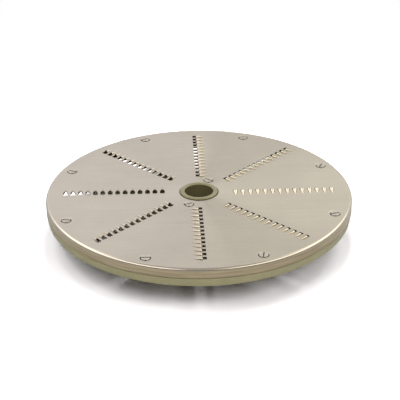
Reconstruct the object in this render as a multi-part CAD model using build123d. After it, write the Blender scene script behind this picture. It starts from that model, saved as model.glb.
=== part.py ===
from build123d import *
from math import cos, pi, radians, sin, tan
import os

# Shredding disc of a vegetable cutter: a drawn steel plate of punched teeth, screwed to a moulded carrier.
# The origin is the middle of the hub's foot, +Z runs up the bore, and the disc turns counter-clockwise
# seen from above. Lengths are in millimetres and angles in degrees.

# Plate
disc_radius = 102.5
plate_top = 31.5
sheet = 0.8
edge_bend = 1.8
bend_sides = 3
skirt_depth = 6.6
collar_gap = 0.5

# Teeth
row_count = 8
teeth_per_row = 14
first_tooth_radius = 24.6
last_tooth_margin = 10.4
hole_length = 2.4
gouge_length = 6.0
gouge_share = 0.38
gouge_rise = 1.7
gouge_shoulder = 0.65
gouge_wall = 0.35
mouth_lean = 15.0

# Carrier
bore_radius = 9.5
collar_radius = 12.8
collar_height = 1.1
lip_bevel = 0.7
hub_radius = 15.0
flange_radius = 22.4
flange_depth = 8.0
rim_wall = 5.0
rim_depth = 12.7
rim_draft = 0.6
rim_seam = 0.5
spoke_width = 7.0
spoke_depth_at_hub = 18.0
spoke_depth_at_rim = 9.0
drive_slot_width = 6.6
drive_slot_depth = 9.0
fit_gap = 0.15

# Screws, with few sides because there are many of them
rim_screw_margin = 8.3
rim_slot_turns = (65, 5, 30, 150, 170, 0, 80, 15)
hub_screw_radius = 18.9
hub_slot_turns = (140, 25)
screw_sides = 10
head_radius = 3.2
head_top_radius = 2.9
head_rise = 0.6
head_sink = 0.4
shank_radius = 1.7
screw_length = 7.0
slot_width = 0.8
slot_depth = 0.6

# Rows fill the flat from the hub to the margin, with the odd ones half a pitch further out
row_step = 360 / row_count
tooth_pitch = (disc_radius - last_tooth_margin - first_tooth_radius) / (teeth_per_row - 0.5)
gouge_width = tooth_pitch * gouge_share

# Screws stand halfway between the rows
rim_screw_radius = disc_radius - rim_screw_margin
rim_screw_angles = [row_step * (i + 0.5) for i in range(row_count)]
hub_screw_angles = [row_step * 1.5, row_step * 1.5 + 180]

plate_under = plate_top - sheet
flat_radius = disc_radius - edge_bend
rim_inner_radius = disc_radius - rim_wall


def turned(points):
    """Turn a closed outline of (radius, height) points about the bore's axis."""
    return revolve(Plane.XZ * make_face(Polyline(*points, close=True)), Axis.Z)


def bend_points(radius, sides):
    """Points of the plate's bent edge from the top to the skirt, as a few flats of the given radius."""
    steps = [pi / 2 * i / sides for i in range(sides + 1)]
    return [(flat_radius + radius * sin(a), plate_top - edge_bend + radius * cos(a)) for a in steps]


def at_top(radius, angle):
    """Place on the plate's top at a radius and an angle, with X pointing outwards."""
    return Rot(0, 0, angle) * Pos(radius, 0, plate_top)


def blank_plate():
    """Drawn pan: a flat disc with a bent edge, a short skirt and a hole for the hub's collar."""
    skirt_foot = plate_top - skirt_depth
    hole_radius = collar_radius + collar_gap
    outside = [(hole_radius, plate_top), *bend_points(edge_bend, bend_sides), (disc_radius, skirt_foot)]
    inside = [(hole_radius, plate_under), *bend_points(edge_bend - sheet, 1), (disc_radius - sheet, skirt_foot)]
    return turned(outside + inside[::-1])


def gouge(width, rise, tip, mouth):
    """Peaked half cone that rises from its tip to a mouth that leans back over it."""
    lean = tan(radians(mouth_lean))
    side = [(1, 0), (gouge_shoulder, gouge_shoulder), (0, 1)]
    outline = side + [(-x, z) for x, z in side[1::-1]]
    arch = Polyline(*[(width * x, mouth - rise * z * lean, rise * z) for x, z in outline], close=True)
    return loft([make_face(arch), Vertex(0, tip, 0)])


def tooth_shapes():
    """Raised gouge of one tooth, and the room inside it with the hole before its mouth."""
    mouth = -hole_length / 2
    tip = mouth - gouge_length
    room_width = gouge_width - gouge_wall
    room_tip = tip + gouge_length * gouge_wall / gouge_width
    outline = Polyline(
        (0, room_tip),
        (room_width, mouth),
        (room_width, mouth + hole_length),
        (-room_width, mouth + hole_length),
        (-room_width, mouth),
        close=True,
    )
    through = extrude(make_face(outline), amount=sheet, dir=(0, 0, -1))
    room = gouge(room_width, gouge_rise - gouge_wall, room_tip, mouth)
    return gouge(gouge_width, gouge_rise, tip, mouth), [room, through]


def tooth_places():
    """Every tooth of every row, with alternate rows set further out."""
    places = []
    for row in range(row_count):
        start = first_tooth_radius + tooth_pitch / 2 * (row % 2)
        places += [at_top(start + tooth_pitch * i, row_step * row) for i in range(teeth_per_row)]
    return places


def screw_section(radius):
    """Flat section of a screw or its hole, measured to the middle of its sides."""
    return RegularPolygon(radius, screw_sides, major_radius=False).face()


def screw_blank(gap, above=0):
    """Right-angled countersink and the shank below it, grown by a gap all round and opened out above."""
    radius = head_radius + gap
    top = radius + above
    countersink = Pos(0, 0, above) * loft([screw_section(top), Vertex(0, 0, -top)])
    return countersink + extrude(screw_section(shank_radius + gap), amount=screw_length + gap, dir=(0, 0, -1))


def screw(slot_turn):
    """Screw with a flat head that narrows a little upwards and a straight slot across it."""
    point = head_rise * head_radius / (head_radius - head_top_radius)
    raised = loft([screw_section(head_radius), Vertex(0, 0, point)])
    raised &= Box(2 * disc_radius, 2 * disc_radius, 2 * head_rise)
    slot = Pos(0, 0, head_rise) * Box(2 * disc_radius, slot_width, 2 * slot_depth)
    return screw_blank(0) + raised - Rot(0, 0, slot_turn) * slot


def at_screw(radius, angle):
    """Place of a screw's head, sunk into the plate."""
    return at_top(radius, angle) * Pos(0, 0, -head_sink)


def screw_holes():
    """Room for every screw of the rim and the hub."""
    rim_places = [at_screw(rim_screw_radius, angle) for angle in rim_screw_angles]
    hub_places = [at_screw(hub_screw_radius, angle) for angle in hub_screw_angles]
    return [place * screw_blank(fit_gap, head_sink) for place in rim_places + hub_places]


def cutting_plate():
    """Steel plate with its teeth and its countersunk holes."""
    raised, room = tooth_shapes()
    places = tooth_places()
    plate = blank_plate().fuse(*[place * raised for place in places])
    return plate.cut(*[place * shape for place in places for shape in room], *screw_holes())


def rim():
    """Rim that carries the plate's flat, with a ledge under the skirt."""
    rim_bottom = plate_top - rim_depth
    ledge = plate_top - skirt_depth - rim_seam
    return turned(
        [
            (rim_inner_radius, plate_under),
            (flat_radius, plate_under),
            (flat_radius, ledge),
            (disc_radius, ledge),
            (disc_radius - rim_draft, rim_bottom),
            (rim_inner_radius, rim_bottom),
        ]
    )


def hub():
    """Hub tube with a flange under the plate and a bevelled collar through it."""
    lip = plate_top + collar_height
    return turned(
        [
            (bore_radius, 0),
            (hub_radius, 0),
            (hub_radius, plate_under - flange_depth),
            (flange_radius, plate_under - flange_depth),
            (flange_radius, plate_under),
            (collar_radius, plate_under),
            (collar_radius, lip - lip_bevel),
            (collar_radius - lip_bevel, lip),
            (bore_radius + lip_bevel, lip),
            (bore_radius, lip - lip_bevel),
        ]
    )


def spoke():
    """Spoke along X, deeper at the hub than at the rim."""
    start = (bore_radius + hub_radius) / 2
    end = (rim_inner_radius + flat_radius) / 2
    side = Polyline(
        (start, plate_under),
        (end, plate_under),
        (end, plate_under - spoke_depth_at_rim),
        (start, plate_under - spoke_depth_at_hub),
        close=True,
    )
    return extrude(Plane.XZ * make_face(side), amount=spoke_width / 2, both=True)


def carrier():
    """Moulded carrier with its screw holes and the slot that the drive pin turns it by."""
    body = hub().fuse(rim(), *[Rot(0, 0, angle) * spoke() for angle in rim_screw_angles])
    drive_slot = Box(2 * hub_radius, drive_slot_width, 2 * drive_slot_depth)
    return body.cut(drive_slot, *screw_holes())


def screws(radius, angles, slot_turns):
    """Screws on one circle, each with its slot turned from the X axis."""
    turns = [slot_turns[i % len(slot_turns)] for i in range(len(angles))]
    return Compound(children=[at_screw(radius, a) * screw(turn - a) for a, turn in zip(angles, turns)])


def main():
    nodes = {
        "cutting_plate": cutting_plate(),
        "carrier": carrier(),
        "rim_screws": screws(rim_screw_radius, rim_screw_angles, rim_slot_turns),
        "hub_screws": screws(hub_screw_radius, hub_screw_angles, hub_slot_turns),
    }
    os.makedirs("parts", exist_ok=True)
    for name, solid in nodes.items():
        export_step(solid, f"parts/{name}.step")


main()
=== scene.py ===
from math import asin, cos, pi, radians, sin, tan

import bmesh
import bpy
from mathutils import Matrix, Quaternion, Vector

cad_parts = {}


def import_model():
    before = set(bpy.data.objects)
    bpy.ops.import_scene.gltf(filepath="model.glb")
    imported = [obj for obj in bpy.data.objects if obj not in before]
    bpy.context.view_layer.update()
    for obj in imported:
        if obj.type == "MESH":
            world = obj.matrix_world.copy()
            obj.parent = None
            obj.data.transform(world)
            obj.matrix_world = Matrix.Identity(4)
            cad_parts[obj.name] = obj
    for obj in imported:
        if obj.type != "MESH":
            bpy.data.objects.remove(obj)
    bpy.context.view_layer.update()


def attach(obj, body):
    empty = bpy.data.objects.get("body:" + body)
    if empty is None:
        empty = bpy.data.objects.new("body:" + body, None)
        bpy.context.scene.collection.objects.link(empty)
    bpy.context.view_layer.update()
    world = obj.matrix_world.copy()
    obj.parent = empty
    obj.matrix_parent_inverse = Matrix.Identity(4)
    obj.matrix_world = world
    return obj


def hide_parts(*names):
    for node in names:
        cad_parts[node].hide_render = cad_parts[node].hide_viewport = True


# Dressed model of a shredding disc: a satin steel plate of punched teeth, screwed to a plastic carrier.
# Lengths are in metres, in the frame of the solids: the foot of the hub at the origin and +Z up the bore.
# Slot turns and the ends of arcs are in degrees, and other angles in radians.

# Plate
disc_radius = 0.1025
plate_top = 0.0315
sheet = 0.0008
edge_bend = 0.0018
bend_steps = 8
skirt_depth = 0.0066
collar_gap = 0.0005
plate_sides = 192

# Teeth
row_count = 8
teeth_per_row = 14
tooth_pitch = 0.005
first_tooth_radius = 0.0246
hole_length = 0.0024
hole_ease = 0.00005
gouge_length = 0.006
gouge_width = 0.0019
gouge_rise = 0.0017
gouge_wall = 0.00035
gouge_sides = 8
gouge_shoulder = 0.65
gouge_round_percent = 35
gouge_round_steps = 2
gouge_tip = 0.0001
gouge_root = 0.0004
mouth_lean = radians(15)

# Carrier
bore_radius = 0.0095
collar_radius = 0.0128
collar_height = 0.0011
lip_height = 0.0008
hub_radius = 0.015
flange_radius = 0.0224
flange_depth = 0.008
rim_wall = 0.005
rim_depth = 0.0127
rim_draft = 0.0006
rim_seam = 0.0005
rim_round = 0.0009
soft_edge = 0.0005
spoke_width = 0.007
spoke_foot_share = 0.8
spoke_depth_at_hub = 0.018
spoke_depth_at_rim = 0.009
spoke_drop = 0.0002
spoke_round = 0.0012
drive_slot_width = 0.0066
drive_slot_depth = 0.009
round_steps = 5
turned_sides = 96

# Screws
rim_screw_radius = 0.0942
rim_slot_turns = (65, 5, 30, 150, 170, 0, 80, 15)
hub_screw_radius = 0.0189
hub_slot_turns = (140, 25)
head_radius = 0.0032
head_top_radius = 0.0029
head_round = 0.0002
head_rise = 0.0006
head_sink = 0.0004
head_round_start = 20
shank_radius = 0.0017
shank_point_share = 0.7
screw_length = 0.007
slot_width = 0.0008
slot_depth = 0.0006
seat_radius = 0.0052
seat_depth = 0.0004
fit_gap = 0.00015
screw_sides = 32

# Meshes: how near two points count as one, in a new shape and in a finished piece, how near a point
# of a unit section counts as on its diagonal, and the angle past which an edge stays sharp
join_distance = 1e-7
clean_distance = 1e-6
diagonal_slack = 0.01
smooth_angle = radians(32)

row_step = 2 * pi / row_count
rim_screw_angles = [row_step * (i + 0.5) for i in range(row_count)]
hub_screw_angles = [row_step * 1.5, row_step * 1.5 + pi]
plate_under = plate_top - sheet
flat_radius = disc_radius - edge_bend
rim_inner_radius = disc_radius - rim_wall

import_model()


# Modelling


def pick(piece, test):
    """In edit mode, select the vertices that pass a test of their place, and what lies between them."""
    bpy.ops.mesh.select_all(action="DESELECT")
    mesh = bmesh.from_edit_mesh(piece.data)
    for vertex in mesh.verts:
        if test(vertex.co):
            vertex.select = True
    mesh.select_flush(True)
    bmesh.update_edit_mesh(piece.data)


def pick_edges(piece, test):
    """In edit mode, select the edges whose two ends pass a test together."""
    bpy.ops.mesh.select_all(action="DESELECT")
    mesh = bmesh.from_edit_mesh(piece.data)
    for edge in mesh.edges:
        if test(*[vertex.co for vertex in edge.verts]):
            edge.select = True
    bmesh.update_edit_mesh(piece.data)


def added(name):
    """Name the primitive that was just added, with its place put in its mesh, and start to edit it."""
    piece = bpy.context.active_object
    piece.name = name
    bpy.ops.object.transform_apply(location=True, rotation=True, scale=True)
    bpy.ops.object.mode_set(mode="EDIT")
    bpy.ops.mesh.select_mode(type="VERT")
    return piece


def face_outwards():
    """Turn every face of the mesh being edited outwards, and leave edit mode."""
    bpy.ops.mesh.select_all(action="SELECT")
    bpy.ops.mesh.remove_doubles(threshold=join_distance)
    bpy.ops.mesh.normals_make_consistent(inside=False)
    bpy.ops.object.mode_set(mode="OBJECT")


def only(*pieces):
    """Select these objects alone, the first one active."""
    bpy.ops.object.select_all(action="DESELECT")
    for piece in pieces:
        piece.select_set(True)
    bpy.context.view_layer.objects.active = pieces[0]


def apply_modifier(piece, modifier):
    """Put what a modifier does into the piece's mesh."""
    only(piece)
    bpy.ops.object.modifier_apply(modifier=modifier.name)


def block(name, size, middle=(0, 0, 0)):
    """Block of a size round a middle, left in edit mode with all of it selected."""
    bpy.ops.object.select_all(action="DESELECT")
    bpy.ops.mesh.primitive_cube_add(size=1)
    piece = added(name)
    bpy.ops.mesh.select_all(action="SELECT")
    bpy.ops.transform.resize(value=size, center_override=(0, 0, 0))
    bpy.ops.transform.translate(value=middle)
    return piece


def lathe(name, outline, sides, ring=True):
    """Draw a circle out from ring to ring along an outline of (radius, height), then close it or cap it."""
    radius, height = outline[0]
    bpy.ops.object.select_all(action="DESELECT")
    bpy.ops.mesh.primitive_circle_add(vertices=sides, radius=radius, location=(0, 0, height))
    piece = added(name)
    bpy.ops.mesh.select_all(action="SELECT")
    if not ring:
        bpy.ops.mesh.edge_face_add()
        bpy.ops.mesh.select_all(action="SELECT")
    for next_radius, next_height in outline[1:]:
        bpy.ops.mesh.extrude_region()
        bpy.ops.transform.translate(value=(0, 0, next_height - height))
        grow = next_radius / radius
        bpy.ops.transform.resize(value=(grow, grow, 1), center_override=(0, 0, 0))
        radius, height = next_radius, next_height
    if ring:
        bpy.ops.mesh.select_all(action="DESELECT")
        bpy.ops.mesh.select_non_manifold()
        bpy.ops.mesh.bridge_edge_loops()
    face_outwards()
    return piece


def arc(middle, radii, start, end, steps):
    """Points of an outline round a middle, from one angle to another measured from +radius to +height."""
    turns = [radians(start + (end - start) * i / steps) for i in range(steps + 1)]
    return [(middle[0] + radii[0] * cos(a), middle[1] + radii[1] * sin(a)) for a in turns]


def placed(shape, places):
    """One object with a copy of a shape at each place. The shape itself goes."""
    copies = []
    for place in places:
        copy = shape.copy()
        copy.data = shape.data.copy()
        copy.data.transform(place)
        bpy.context.scene.collection.objects.link(copy)
        copies.append(copy)
    bpy.data.objects.remove(shape)
    only(*copies)
    bpy.ops.object.join()
    return copies[0]


def combine(piece, tool, operation):
    """Cut a tool out of a piece, or make the two one. The tool goes."""
    boolean = piece.modifiers.new(operation.lower(), "BOOLEAN")
    boolean.operation = operation
    boolean.solver = "EXACT"
    boolean.object = tool
    apply_modifier(piece, boolean)
    bpy.data.objects.remove(tool)


def finish_shading(piece):
    """Smooth shading with the real edges kept, and flats that stay flat."""
    only(piece)
    bpy.ops.object.mode_set(mode="EDIT")
    bpy.ops.mesh.select_all(action="SELECT")
    bpy.ops.mesh.remove_doubles(threshold=clean_distance)
    bpy.ops.mesh.dissolve_degenerate(threshold=clean_distance)
    bpy.ops.object.mode_set(mode="OBJECT")
    bpy.ops.object.shade_smooth_by_angle(angle=smooth_angle)
    weighted = piece.modifiers.new("flats", "WEIGHTED_NORMAL")
    weighted.keep_sharp = True
    apply_modifier(piece, weighted)


def at_top(radius, angle):
    """Place on the plate's top at a radius and an angle, with X pointing outwards."""
    return Matrix.Rotation(angle, 4, "Z") @ Matrix.Translation((radius, 0, plate_top))


# Plate


def blank_plate():
    """Drawn pan with a round bend and a skirt."""
    foot = plate_top - skirt_depth
    middle = (flat_radius, plate_top - edge_bend)
    inner_bend = edge_bend - sheet
    outline = [
        (collar_radius + collar_gap, plate_top),
        (flat_radius - soft_edge, plate_top),
        *arc(middle, (edge_bend, edge_bend), 90, 0, bend_steps),
        (disc_radius, foot),
        (disc_radius - sheet, foot),
        *arc(middle, (inner_bend, inner_bend), 0, 90, bend_steps),
        (collar_radius + collar_gap, plate_under),
    ]
    return lathe("plate", outline, plate_sides)


def gouge(name, width, rise, length, mouth):
    """Peaked cone along the tooth, with softened ridges, from its tip to a mouth that leans back over it."""
    bpy.ops.object.select_all(action="DESELECT")
    bpy.ops.mesh.primitive_cone_add(
        vertices=gouge_sides,
        radius1=1,
        radius2=gouge_tip / width,
        depth=1,
        location=(0, -0.5, 0),
        rotation=(pi / 2, 0, 0),
    )
    piece = added(name)
    # The corners on the diagonals become the shoulders
    shoulder = gouge_shoulder / cos(pi / 4)
    pick(piece, lambda co: abs(abs(co.x) - abs(co.z)) < diagonal_slack)
    bpy.ops.transform.resize(value=(shoulder, 1, shoulder), center_override=(0, 0, 0))
    bpy.ops.mesh.select_all(action="SELECT")
    bpy.ops.transform.resize(value=(width, length, rise), center_override=(0, 0, 0))
    bpy.ops.transform.translate(value=(0, mouth, 0))
    lean = tan(mouth_lean)
    for vertex in bmesh.from_edit_mesh(piece.data).verts:
        if vertex.co.y > mouth - length / 2:
            vertex.co.y -= lean * vertex.co.z
    pick_edges(piece, lambda a, b: abs(a.y - b.y) > length / 2)
    bpy.ops.mesh.bevel(offset_type="PERCENT", offset_pct=gouge_round_percent, segments=gouge_round_steps)
    return piece


def gouge_shell():
    """Raised half of a gouge, with a root that sinks into the sheet."""
    piece = gouge("gouge", gouge_width, gouge_rise, gouge_length, -hole_length / 2)
    bpy.ops.mesh.select_all(action="SELECT")
    bpy.ops.mesh.bisect(
        plane_co=(0, 0, -gouge_root), plane_no=(0, 0, 1), use_fill=True, clear_inner=True
    )
    face_outwards()
    return piece


def gouge_room():
    """Room inside a gouge, open at the mouth."""
    length = gouge_length * (1 - gouge_wall / gouge_width)
    width = gouge_width - gouge_wall
    piece = gouge("room", width, gouge_rise - gouge_wall, length, -hole_length / 2 + hole_ease)
    face_outwards()
    return piece


def tooth_hole():
    """Hole through the sheet: a square one before the mouth that runs to a point under the gouge."""
    half = gouge_width - gouge_wall + hole_ease
    mouth = -hole_length / 2
    tip = mouth - gouge_length * (1 - gouge_wall / gouge_width)
    piece = block("hole", (2 * half, hole_length, 2 * sheet), (0, 0, hole_ease - sheet))
    pick(piece, lambda co: co.y < 0)
    bpy.ops.mesh.extrude_region()
    bpy.ops.transform.translate(value=(0, tip - mouth, 0))
    bpy.ops.transform.resize(value=(gouge_tip / half, 1, 1), center_override=(0, 0, 0))
    face_outwards()
    return piece


def tooth_places():
    """Every tooth of every row, with the odd rows half a pitch further out."""
    places = []
    for row in range(row_count):
        start = first_tooth_radius + tooth_pitch / 2 * (row % 2)
        places += [at_top(start + tooth_pitch * i, row_step * row) for i in range(teeth_per_row)]
    return places


def at_screw(radius, angle):
    """Place of a screw's head, sunk into the plate."""
    return at_top(radius, angle) @ Matrix.Translation((0, 0, -head_sink))


def screw_places():
    """Every screw of the rim and the hub."""
    rim_places = [at_screw(rim_screw_radius, angle) for angle in rim_screw_angles]
    return rim_places + [at_screw(hub_screw_radius, angle) for angle in hub_screw_angles]


def screw_rooms():
    """Countersunk holes for every screw."""
    radius = head_radius + fit_gap
    shank = shank_radius + fit_gap
    outline = [
        (shank, -screw_length - fit_gap),
        (shank, shank - radius),
        (radius, 0),
        (radius + head_rise, head_rise),
    ]
    return placed(lathe("screw_room", outline, screw_sides, ring=False), screw_places())


def screw_seats():
    """Shallow dishes that the sheet is pressed into round every screw."""
    ball = (seat_radius**2 + seat_depth**2) / (2 * seat_depth)
    reach = asin((seat_radius + soft_edge) / ball)
    turns = [reach * (i + 1) / round_steps for i in range(round_steps)]
    outline = [(ball * sin(a), ball - ball * cos(a)) for a in turns]
    return placed(lathe("screw_seat", outline, screw_sides, ring=False), screw_places())


def cutting_plate():
    """Steel plate with its teeth, its pressed dishes and its countersunk holes."""
    piece = blank_plate()
    combine(piece, placed(gouge_shell(), tooth_places()), "UNION")
    combine(piece, placed(tooth_hole(), tooth_places()), "DIFFERENCE")
    combine(piece, placed(gouge_room(), tooth_places()), "DIFFERENCE")
    combine(piece, screw_seats(), "DIFFERENCE")
    combine(piece, screw_rooms(), "DIFFERENCE")
    piece.name = "toothed_plate"
    return piece


# Carrier


def rim():
    """Rim with soft edges, stepped in under the plate's skirt."""
    bottom = plate_top - rim_depth
    ledge = plate_top - skirt_depth - rim_seam
    outer_foot = (disc_radius - rim_draft - rim_round, bottom + rim_round)
    inner_foot = (rim_inner_radius + soft_edge, bottom + soft_edge)
    outline = [
        (rim_inner_radius, plate_under),
        (flat_radius, plate_under),
        (flat_radius, ledge),
        *arc((disc_radius - soft_edge, ledge - soft_edge), (soft_edge, soft_edge), 90, 0, round_steps),
        *arc(outer_foot, (rim_round, rim_round), 0, -90, round_steps),
        *arc(inner_foot, (soft_edge, soft_edge), -90, -180, round_steps),
    ]
    return lathe("rim", outline, plate_sides)


def hub():
    """Hub tube with a flange under the plate and a rounded lip round the bore."""
    lip_middle = ((bore_radius + collar_radius) / 2, plate_top + collar_height - lip_height)
    lip_radii = ((collar_radius - bore_radius) / 2, lip_height)
    flange_foot = plate_under - flange_depth
    edge = (soft_edge, soft_edge)
    outline = [
        *arc((bore_radius + soft_edge, soft_edge), edge, 180, 270, round_steps),
        *arc((hub_radius - soft_edge, soft_edge), edge, 270, 360, round_steps),
        (hub_radius, flange_foot),
        *arc((flange_radius - soft_edge, flange_foot + soft_edge), edge, 270, 360, round_steps),
        (flange_radius, plate_under),
        (collar_radius, plate_under),
        *arc(lip_middle, lip_radii, 0, 180, 2 * round_steps),
    ]
    return lathe("hub", outline, turned_sides)


def spoke():
    """Spoke along X that narrows downwards and grows shallower towards the rim."""
    start = (bore_radius + hub_radius) / 2
    end = (rim_inner_radius + flat_radius) / 2
    top = plate_under - spoke_drop
    middle = (start + end) / 2
    depth = spoke_depth_at_hub - spoke_drop
    piece = block("spoke", (end - start, spoke_width, depth), (middle, 0, top - depth / 2))
    pick(piece, lambda co: co.z < top - spoke_drop)
    bpy.ops.transform.resize(value=(1, spoke_foot_share, 1), center_override=(0, 0, 0))
    bpy.ops.mesh.bevel(offset=spoke_round, segments=round_steps)
    pick(piece, lambda co: co.z < top - spoke_drop and co.x > middle)
    bpy.ops.transform.translate(value=(0, 0, spoke_depth_at_hub - spoke_depth_at_rim))
    face_outwards()
    return piece


def drive_slot():
    """Slot across the hub's foot for the drive pin."""
    piece = block("drive_slot", (2 * flange_radius, drive_slot_width, 2 * drive_slot_depth))
    face_outwards()
    return piece


def carrier():
    """Moulded carrier with its screw holes and its drive slot."""
    piece = hub()
    combine(piece, rim(), "UNION")
    spokes = [Matrix.Rotation(angle, 4, "Z") for angle in rim_screw_angles]
    combine(piece, placed(spoke(), spokes), "UNION")
    combine(piece, drive_slot(), "DIFFERENCE")
    combine(piece, screw_rooms(), "DIFFERENCE")
    piece.name = "carrier_moulding"
    return piece


# Screws


def screw():
    """Countersunk screw with a flat head that stands a little proud, slotted along X."""
    edge_middle = (head_top_radius - head_round, head_rise - head_round)
    outline = [
        (shank_radius * shank_point_share, -screw_length),
        (shank_radius, -screw_length + shank_radius * (1 - shank_point_share)),
        (shank_radius, shank_radius - head_radius),
        (head_radius, 0),
        *arc(edge_middle, (head_round, head_round), head_round_start, 90, round_steps),
        (head_top_radius / 2, head_rise),
    ]
    piece = lathe("screw", outline, screw_sides, ring=False)
    slot = block("screw_slot", (4 * head_radius, slot_width, 2 * slot_depth), (0, 0, head_rise))
    face_outwards()
    combine(piece, slot, "DIFFERENCE")
    return piece


def screws(name, radius, angles, slot_turns):
    """Screws on one circle, each with its slot turned from the X axis."""
    places = [
        at_screw(radius, a) @ Matrix.Rotation(radians(turn) - a, 4, "Z")
        for a, turn in zip(angles, slot_turns)
    ]
    piece = placed(screw(), places)
    piece.name = name
    return piece


# Finishes

# Colours of the steel and the plastic, and painted shade for recesses, screw heads, collar and bore
plate_colour = (0.54, 0.486, 0.388)
# The second plate colour is a painted reflection tint for the flat's left side
painted_cool_plate_colour = (0.54, 0.486, 0.412)
skirt_colour = (0.465, 0.385, 0.255)
recess_shade_colour = (0.1, 0.085, 0.06)
screw_colour = (0.55, 0.5, 0.42)
screw_shade_colour = (0.12, 0.105, 0.08)
plastic_colour = (0.38, 0.345, 0.185)
collar_shade_colour = (0.25, 0.225, 0.115)
bore_shade_colour = (0.165, 0.148, 0.07)

# Sockets of a mix node for its factor and its two colours, and for the mixed colour
mix_inputs = (0, 6, 7)
mix_output = 2


def add_node(tree, kind, values=None, **settings):
    """Shader node with its input values and its settings."""
    node = tree.nodes.new(kind)
    for name, value in settings.items():
        setattr(node, name, value)
    for name, value in (values or {}).items():
        node.inputs[name].default_value = value
    return node


def mottle_group():
    """Soft blotches between a low and a high value, stretched by a scale in each direction."""
    group = bpy.data.node_groups.new("mottle", "ShaderNodeTree")
    for name, kind in (("Vector", "Vector"), ("Stretch", "Vector"), ("Low", "Float"), ("High", "Float")):
        group.interface.new_socket(name, in_out="INPUT", socket_type=f"NodeSocket{kind}")
    group.interface.new_socket("Value", in_out="OUTPUT", socket_type="NodeSocketFloat")
    inputs = add_node(group, "NodeGroupInput")
    outputs = add_node(group, "NodeGroupOutput")
    stretched = add_node(group, "ShaderNodeVectorMath", operation="MULTIPLY")
    noise = add_node(group, "ShaderNodeTexNoise", {"Scale": 1.0, "Detail": 4.0, "Roughness": 0.55})
    spread = add_node(group, "ShaderNodeMapRange", {"From Min": 0.3, "From Max": 0.7})
    group.links.new(inputs.outputs["Vector"], stretched.inputs[0])
    group.links.new(inputs.outputs["Stretch"], stretched.inputs[1])
    group.links.new(stretched.outputs[0], noise.inputs["Vector"])
    group.links.new(noise.outputs["Fac"], spread.inputs["Value"])
    group.links.new(inputs.outputs["Low"], spread.inputs["To Min"])
    group.links.new(inputs.outputs["High"], spread.inputs["To Max"])
    group.links.new(spread.outputs["Result"], outputs.inputs["Value"])
    return group


mottle = mottle_group()


def new_material(name, metallic):
    """Material with its shader and the object's own coordinates."""
    material = bpy.data.materials.new(name)
    material.use_nodes = True
    tree = material.node_tree
    shader = tree.nodes["Principled BSDF"]
    shader.inputs["Metallic"].default_value = metallic
    coords = add_node(tree, "ShaderNodeTexCoord").outputs["Object"]
    return material, tree, shader, coords


def blotches(tree, coords, stretch, low, high):
    """Output of the mottle group placed in a material."""
    values = {"Stretch": stretch, "Low": low, "High": high}
    node = add_node(tree, "ShaderNodeGroup", values, node_tree=mottle)
    tree.links.new(coords, node.inputs["Vector"])
    return node.outputs["Value"]


def split(tree, coords):
    """Sockets for the X, Y and Z of a place."""
    node = add_node(tree, "ShaderNodeSeparateXYZ")
    tree.links.new(coords, node.inputs[0])
    return node.outputs


def joined(tree, operation, first, second):
    """Two values put together by an operation, where each may be a socket or a plain number."""
    node = add_node(tree, "ShaderNodeMath", operation=operation)
    for socket, value in zip(node.inputs, (first, second)):
        if isinstance(value, (int, float)):
            socket.default_value = value
        else:
            tree.links.new(value, socket)
    return node.outputs[0]


def times(tree, first, second):
    """Product of two values."""
    return joined(tree, "MULTIPLY", first, second)


def lessened(tree, mask, share):
    """Value that falls from 1 by a share where a mask is full."""
    return joined(tree, "SUBTRACT", 1.0, times(tree, mask, share))


def ramp(tree, value, start, end):
    """Smooth step from 0 to 1 as a value goes from start to end."""
    limits = {"From Min": start, "From Max": end}
    node = add_node(tree, "ShaderNodeMapRange", limits, interpolation_type="SMOOTHSTEP")
    tree.links.new(value, node.inputs["Value"])
    return node.outputs["Result"]


def mix(tree, factor, first, second, kind="MIX"):
    """Two colours mixed by a factor, where each may be a socket or a plain value."""
    node = add_node(tree, "ShaderNodeMix", data_type="RGBA", blend_type=kind)
    for index, value in zip(mix_inputs, (factor, first, second)):
        if isinstance(value, (int, float)):
            node.inputs[index].default_value = value
        elif isinstance(value, tuple):
            node.inputs[index].default_value = (*value, 1)
        else:
            tree.links.new(value, node.inputs[index])
    return node.outputs[mix_output]


def toned(tree, colour, tone):
    """Colour made lighter and darker by a value near 1."""
    return mix(tree, 1.0, colour, tone, kind="MULTIPLY")


def bumped(tree, shader, height, distance, strength):
    """Fine relief on a shader's normal."""
    node = add_node(tree, "ShaderNodeBump", {"Distance": distance, "Strength": strength})
    tree.links.new(height, node.inputs["Height"])
    tree.links.new(node.outputs["Normal"], shader.inputs["Normal"])


def distance_from_axis(tree, coords):
    """Distance of a place from the bore's axis."""
    flat_place = add_node(tree, "ShaderNodeVectorMath", {1: (1, 1, 0)}, operation="MULTIPLY")
    tree.links.new(coords, flat_place.inputs[0])
    length = add_node(tree, "ShaderNodeVectorMath", operation="LENGTH")
    tree.links.new(flat_place.outputs[0], length.inputs[0])
    return length.outputs["Value"]


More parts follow.
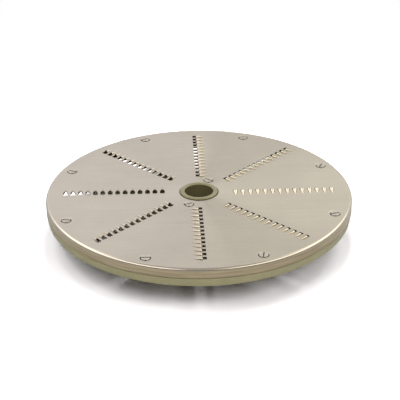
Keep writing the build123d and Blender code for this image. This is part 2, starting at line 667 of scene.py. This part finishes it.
def satin_steel():
    """Rolled sheet steel, painted sheen on the flat, painted shade in its recesses, browner on the skirt."""
    material, tree, shader, coords = new_material("satin_steel", metallic=1.0)
    place = split(tree, coords)
    from_axis = distance_from_axis(tree, coords)
    sideways = joined(tree, "DIVIDE", place["X"], from_axis)

    rolled = blotches(tree, coords, stretch=(18, 1100, 18), low=0.97, high=1.03)
    clouds = blotches(tree, coords, stretch=(22, 22, 22), low=0.95, high=1.05)
    # Painted sheen: the flat is lighter towards its left and right sides and duller in two sectors on its
    # right
    painted_sheen_sides = add_node(tree, "ShaderNodeMapRange", {"To Min": 0.945, "To Max": 1.04})
    tree.links.new(times(tree, sideways, sideways), painted_sheen_sides.inputs["Value"])
    painted_dull_fan = times(tree, ramp(tree, sideways, start=0.05, end=0.25), ramp(tree, sideways, start=0.85, end=0.6))
    painted_sheen = times(tree, painted_sheen_sides.outputs["Result"], lessened(tree, painted_dull_fan, share=0.09))
    # Painted reflection tint: the flat turns cooler towards its left side
    painted_cool_side = ramp(tree, sideways, start=0.4, end=-0.4)
    flat = mix(tree, painted_cool_side, plate_colour, painted_cool_plate_colour)
    flat = toned(tree, flat, times(tree, times(tree, rolled, clouds), painted_sheen))

    # Painted shade: steel sunk below the top inside the flat turns dark, in dish centres, tooth holes,
    # gouges and underside
    inside = ramp(tree, from_axis, start=flat_radius, end=flat_radius - soft_edge)
    sunk = ramp(tree, place["Z"], start=plate_top - seat_depth * 0.5, end=plate_top - seat_depth)
    flat = mix(tree, times(tree, inside, sunk), flat, recess_shade_colour)

    # The skirt's browner, darker colour is partly the drawn finish and partly a painted reflection of the
    # darker surroundings in front
    outside = ramp(tree, from_axis, start=flat_radius, end=disc_radius)
    below = ramp(tree, place["Z"], start=plate_top - edge_bend * 0.5, end=plate_top - edge_bend * 1.2)
    drawn = blotches(tree, coords, stretch=(45, 45, 1400), low=0.72, high=1.2)
    skirt = toned(tree, skirt_colour, drawn)
    colour = mix(tree, times(tree, outside, below), flat, skirt)
    tree.links.new(colour, shader.inputs["Base Color"])

    grain = blotches(tree, coords, stretch=(1500, 2600, 1500), low=0.2, high=0.28)
    tree.links.new(grain, shader.inputs["Roughness"])
    bumped(tree, shader, rolled, distance=0.0002, strength=0.05)
    return material


def screw_steel():
    """Turned steel with faint handling marks, and painted shade in the slot and below the head's edge."""
    material, tree, shader, coords = new_material("screw_steel", metallic=1.0)
    marks = blotches(tree, coords, stretch=(700, 700, 700), low=0.85, high=1.1)
    bright = toned(tree, screw_colour, marks)
    height = split(tree, coords)["Z"]
    head_top = plate_top - head_sink + head_rise
    # Painted shade: the steel turns dark below the rounded edge of the head's top, in the slot and on the
    # head's side
    painted_shade_below_top = ramp(tree, height, start=head_top - head_round * 0.3, end=head_top - head_round * 1.2)
    tree.links.new(mix(tree, painted_shade_below_top, bright, screw_shade_colour), shader.inputs["Base Color"])
    grain = blotches(tree, coords, stretch=(2400, 2400, 2400), low=0.18, high=0.34)
    tree.links.new(grain, shader.inputs["Roughness"])
    return material


def olive_plastic():
    """Moulded olive plastic with a faint cloudiness, and painted shade on the collar and down the bore."""
    material, tree, shader, coords = new_material("olive_plastic", metallic=0.0)
    clouds = blotches(tree, coords, stretch=(60, 60, 60), low=0.93, high=1.07)
    clean = toned(tree, plastic_colour, clouds)
    from_axis = distance_from_axis(tree, coords)
    near_axis = ramp(tree, from_axis, start=hub_radius, end=collar_radius + collar_gap)
    height = split(tree, coords)["Z"]
    # Painted shade: the collar is darker than the rest of the plastic, and darker still down the bore
    sunk = ramp(tree, height, start=plate_top + collar_height * 0.9, end=plate_top - collar_height * 0.3)
    collar = mix(tree, sunk, collar_shade_colour, bore_shade_colour)
    tree.links.new(mix(tree, near_axis, clean, collar), shader.inputs["Base Color"])
    skin = blotches(tree, coords, stretch=(3000, 3000, 3000), low=0.38, high=0.5)
    worn = lessened(tree, near_axis, share=0.4)
    tree.links.new(times(tree, skin, worn), shader.inputs["Roughness"])
    bumped(tree, shader, skin, distance=0.0001, strength=0.08)
    return material


# Stage

# Lamps, each with its place, size and energy
lamps = {
    "overhead": ((0.08, 0.3, 1.159), 0.25, 3.6),
    "high_left": ((-0.292, 0.106, 1.159), 0.15, 1.5),
    "left": ((-0.472, -0.232, 1.079), 0.25, 1.7),
    "front_left_high": ((-0.522, -0.522, 0.946), 0.5, 2.1),
    "front_left": ((-0.432, -0.748, 0.834), 0.5, 1.4),
    "front": ((-0.3, -0.923, 0.705), 0.6, 0.9),
    "front_right_high": ((0.432, -0.748, 0.834), 0.5, 1.5),
    "front_right": ((0.785, -0.571, 0.705), 0.5, 2.6),
    "right": ((0.683, 0.283, 0.946), 0.3, 2.0),
    "back_right": ((0.522, 0.522, 0.946), 0.2, 1.2),
}

# Paper, as the camera sees it, as metal mirrors it and as it lights the part from below
floor_size = 12
paper_seen = (1.8, 1.76, 1.78)
paper_mirrored = (0.7, 0.7, 0.7)
paper_open = (0.9, 0.9, 0.9)
# The paper under the disc is painted dark with its shadow, for the light it passes on to the part
paper_painted_shadow = (0.05, 0.045, 0.04)

# Room, as metal mirrors it and as it fills the shadows
back_wall_low = (0.93, 0.93, 0.95)
back_wall_high = (1.06, 1.06, 1.06)
front_wall = (0.56, 0.55, 0.54)
dark_front = (0.15, 0.14, 0.13)
strip_light = (2.6, 2.52, 2.4)
shadow_fill = (0.02, 0.02, 0.02)
white = (1, 1, 1)

# Camera, placed from the middle of the plate's top, with its focal length in pixels of the photograph
camera_place = (-0.02635, -0.71698, 0.36346)
camera_aim = (0.00021, -0.01249, 0)
camera_roll = -0.00728
focal_pixels = 1194.7
picture_width = 400
sensor_width = 36
nearest_seen = 0.01


def paper():
    """White paper that keeps the shadow near the disc and is plain backdrop further away."""
    material = bpy.data.materials.new("floor_paper")
    material.use_nodes = True
    tree = material.node_tree
    tree.nodes.remove(tree.nodes["Principled BSDF"])
    path = add_node(tree, "ShaderNodeLightPath").outputs
    coords = add_node(tree, "ShaderNodeTexCoord").outputs["Object"]
    from_axis = distance_from_axis(tree, coords)

    to_front = ramp(tree, split(tree, coords)["Y"], start=-0.25, end=-0.45)
    shine = mix(tree, to_front, paper_mirrored, dark_front)
    # Painted shadow: under the disc the paper passes on almost no light to the part
    open_floor = ramp(tree, from_axis, start=disc_radius * 0.8, end=disc_radius * 1.3)
    bounce = mix(tree, open_floor, paper_painted_shadow, paper_open)
    mirrored = joined(tree, "MAXIMUM", path["Is Glossy Ray"], path["Is Transmission Ray"])
    lit = mix(tree, mirrored, bounce, shine)
    colour = mix(tree, path["Is Camera Ray"], lit, paper_seen)
    matt = add_node(tree, "ShaderNodeBsdfDiffuse")
    tree.links.new(colour, matt.inputs["Color"])

    backdrop = add_node(tree, "ShaderNodeEmission")
    away = ramp(tree, from_axis, start=disc_radius * 2, end=disc_radius * 5)
    surface = add_node(tree, "ShaderNodeMixShader")
    tree.links.new(times(tree, path["Is Camera Ray"], away), surface.inputs[0])
    tree.links.new(matt.outputs[0], surface.inputs[1])
    tree.links.new(backdrop.outputs[0], surface.inputs[2])
    tree.links.new(surface.outputs[0], tree.nodes["Material Output"].inputs["Surface"])
    material.cycles.emission_sampling = "NONE"
    return material


def floor():
    """Floor that the hub's foot stands on."""
    bpy.ops.object.select_all(action="DESELECT")
    bpy.ops.mesh.primitive_plane_add(size=floor_size)
    piece = bpy.context.active_object
    piece.name = "floor"
    piece.data.materials.append(paper())


def side_strips(tree, place):
    """Long bright strips of the room to the left and right of the camera, as a value from 0 to 1."""
    beside = ramp(tree, joined(tree, "ABSOLUTE", place["X"], 0), start=0.2, end=0.3)
    not_behind = ramp(tree, place["Y"], start=0.82, end=0.66)
    above = ramp(tree, place["Z"], start=0.36, end=0.5)
    below = ramp(tree, place["Z"], start=0.86, end=0.76)
    return times(tree, times(tree, beside, not_behind), times(tree, above, below))


def world():
    """White room. Metal mirrors it brightest in the side strips, darkest low on the camera's side."""
    room = bpy.data.worlds.new("white_room")
    bpy.context.scene.world = room
    room.use_nodes = True
    tree = room.node_tree
    place = split(tree, add_node(tree, "ShaderNodeTexCoord").outputs["Generated"])
    up = ramp(tree, place["Z"], start=0.3, end=0.6)
    ahead = ramp(tree, place["Y"], start=0.75, end=-0.1)
    walls = mix(tree, ahead, mix(tree, up, back_wall_low, back_wall_high), front_wall)
    near = ramp(tree, place["Y"], start=-0.3, end=-0.6)
    low = ramp(tree, place["Z"], start=0.3, end=0.05)
    walls = mix(tree, times(tree, near, low), walls, dark_front)
    walls = mix(tree, side_strips(tree, place), walls, strip_light)
    path = add_node(tree, "ShaderNodeLightPath").outputs
    around = mix(tree, path["Is Glossy Ray"], shadow_fill, walls)
    colour = mix(tree, path["Is Camera Ray"], around, white)
    tree.links.new(colour, tree.nodes["Background"].inputs["Color"])


def stand(name, data, place, aim):
    """Lamp or camera at a place, turned to look at its aim."""
    piece = bpy.data.objects.new(name, data)
    piece.location = place
    piece.rotation_mode = "QUATERNION"
    piece.rotation_quaternion = (aim - place).to_track_quat("-Z", "Y")
    bpy.context.scene.collection.objects.link(piece)
    return piece


def softbox(name, place, size, energy):
    """Square lamp that faces the plate. The room's strips stand for it in the steel."""
    data = bpy.data.lights.new(name, "AREA")
    data.size = size
    data.energy = energy
    lamp = stand(name, data, Vector(place), Vector((0, 0, plate_top)))
    lamp.visible_glossy = False


def camera():
    """Camera at the photograph's place, with its slight roll."""
    data = bpy.data.cameras.new("camera")
    data.sensor_width = sensor_width
    data.lens = focal_pixels / picture_width * sensor_width
    data.clip_start = nearest_seen
    plate_middle = Vector((0, 0, plate_top))
    piece = stand("camera", data, plate_middle + Vector(camera_place), plate_middle + Vector(camera_aim))
    piece.rotation_quaternion = piece.rotation_quaternion @ Quaternion((0, 0, 1), camera_roll)
    bpy.context.scene.camera = piece


def dress(piece, node, material):
    """Give a piece its finish, and let it stand for its node."""
    finish_shading(piece)
    piece.data.materials.clear()
    piece.data.materials.append(material)
    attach(piece, "root")
    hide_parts(node)


def main():
    """Build and dress the four pieces, then set the stage round them."""
    steel = screw_steel()
    dress(cutting_plate(), "cutting_plate", satin_steel())
    dress(carrier(), "carrier", olive_plastic())
    rim_set = screws("rim_screw_set", rim_screw_radius, rim_screw_angles, rim_slot_turns)
    dress(rim_set, "rim_screws", steel)
    hub_set = screws("hub_screw_set", hub_screw_radius, hub_screw_angles, hub_slot_turns)
    dress(hub_set, "hub_screws", steel)
    floor()
    world()
    for name, (place, size, energy) in lamps.items():
        softbox(name, place, size, energy)
    camera()
    bpy.context.scene.view_settings.view_transform = "Standard"


main()
